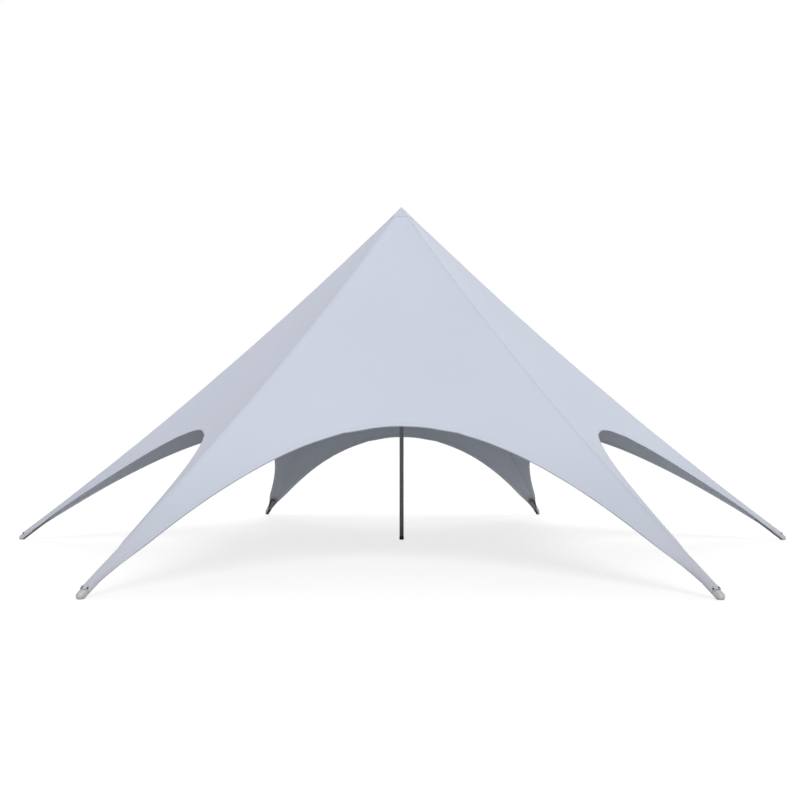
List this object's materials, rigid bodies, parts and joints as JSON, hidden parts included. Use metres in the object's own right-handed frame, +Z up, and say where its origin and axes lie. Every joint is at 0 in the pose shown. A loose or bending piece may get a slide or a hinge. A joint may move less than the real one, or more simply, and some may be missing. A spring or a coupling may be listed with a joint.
{
  "type": "single-mast star tent",
  "caption": "Star-shaped event tent: one stretched white canopy pulled from a central mast down to long legs on ground feet, with open arches between the legs.",
  "frame": {"origin": "middle of the mast foot's underside, at ground level", "axes": "+Z up along the mast; +X towards leg 1, with the other legs every 60 degrees anticlockwise; the picture looks along +Y"},
  "size_m": [14, 12.1388, 6.18],
  "materials": {
    "canopy_fabric": "white coated polyester with a faint cool cast, matt with a soft sheen",
    "webbing": "grey woven polyester webbing",
    "mast_tube": "dark grey coated tube, satin",
    "leg_tube": "dark grey coated tube, satin",
    "leg_foot": "bare grey metal, dull",
    "foot_rubber": "black moulded foot"
  },
  "bodies": {
    "root": {"mast_foot": "foot_rubber", "mast_lower_tube": "mast_tube", "mast_joint": "mast_tube", "mast_upper_tube": "mast_tube", "mast_head": "mast_tube", "peak_cap": "canopy_fabric", "canopy_panel_1": "canopy_fabric", "canopy_panel_2": "canopy_fabric", "canopy_panel_3": "canopy_fabric", "canopy_panel_4": "canopy_fabric", "canopy_panel_5": "canopy_fabric", "canopy_panel_6": "canopy_fabric", "ridge_strap_1": "webbing", "ridge_strap_2": "webbing", "ridge_strap_3": "webbing", "ridge_strap_4": "webbing", "ridge_strap_5": "webbing", "ridge_strap_6": "webbing", "edge_belt_1": "webbing", "edge_belt_2": "webbing", "edge_belt_3": "webbing", "edge_belt_4": "webbing", "edge_belt_5": "webbing", "edge_belt_6": "webbing", "leg_tube_1": "leg_tube", "leg_tube_2": "leg_tube", "leg_tube_3": "leg_tube", "leg_tube_4": "leg_tube", "leg_tube_5": "leg_tube", "leg_tube_6": "leg_tube", "leg_foot_1": "leg_foot", "leg_foot_2": "leg_foot", "leg_foot_3": "leg_foot", "leg_foot_4": "leg_foot", "leg_foot_5": "leg_foot", "leg_foot_6": "leg_foot"}
  },
  "joints": []
}
